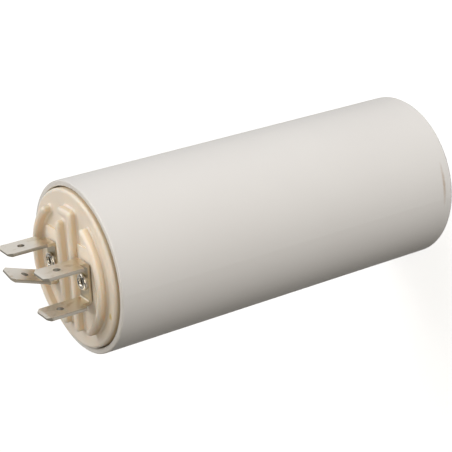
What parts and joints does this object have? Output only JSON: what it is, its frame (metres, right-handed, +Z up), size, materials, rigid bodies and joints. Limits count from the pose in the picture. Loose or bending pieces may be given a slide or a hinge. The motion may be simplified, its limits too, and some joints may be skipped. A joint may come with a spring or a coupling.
{
  "type": "motor run film capacitor",
  "caption": "Cylindrical film capacitor for a motor: white moulded case, cream lid with barrier ribs, and riveted push-on terminals with a tab bent over",
  "frame": {"origin": "Middle of the flat base that it stands on, at the bottom of the bounding box", "axes": "+Z up along the case to the terminals, X across the barrier ribs with the hooked rib on +X, Y along the ribs with the hook at +Y"},
  "size_m": [0.04, 0.04, 0.1066],
  "materials": {
    "case_plastic": "moulded white, satin",
    "lid_plastic": "moulded cream, satin",
    "terminal_sheet": "tin plated, dull",
    "rivet_metal": "nickel plated, bright",
    "metallised_film": "wound metallised film",
    "core_plastic": "extruded tube",
    "sprayed_zinc": "sprayed zinc, rough",
    "lead_insulation": "insulated wire",
    "resin": "poured resin"
  },
  "bodies": {
    "root": {"case": "case_plastic", "lid": "lid_plastic", "terminal_front": "terminal_sheet", "terminal_back": "terminal_sheet", "rivet_front": "rivet_metal", "rivet_back": "rivet_metal", "film_roll": "metallised_film", "winding_core": "core_plastic", "end_contact_upper": "sprayed_zinc", "end_contact_lower": "sprayed_zinc", "lead_upper": "lead_insulation", "lead_lower": "lead_insulation", "potting": "resin"}
  },
  "joints": []
}
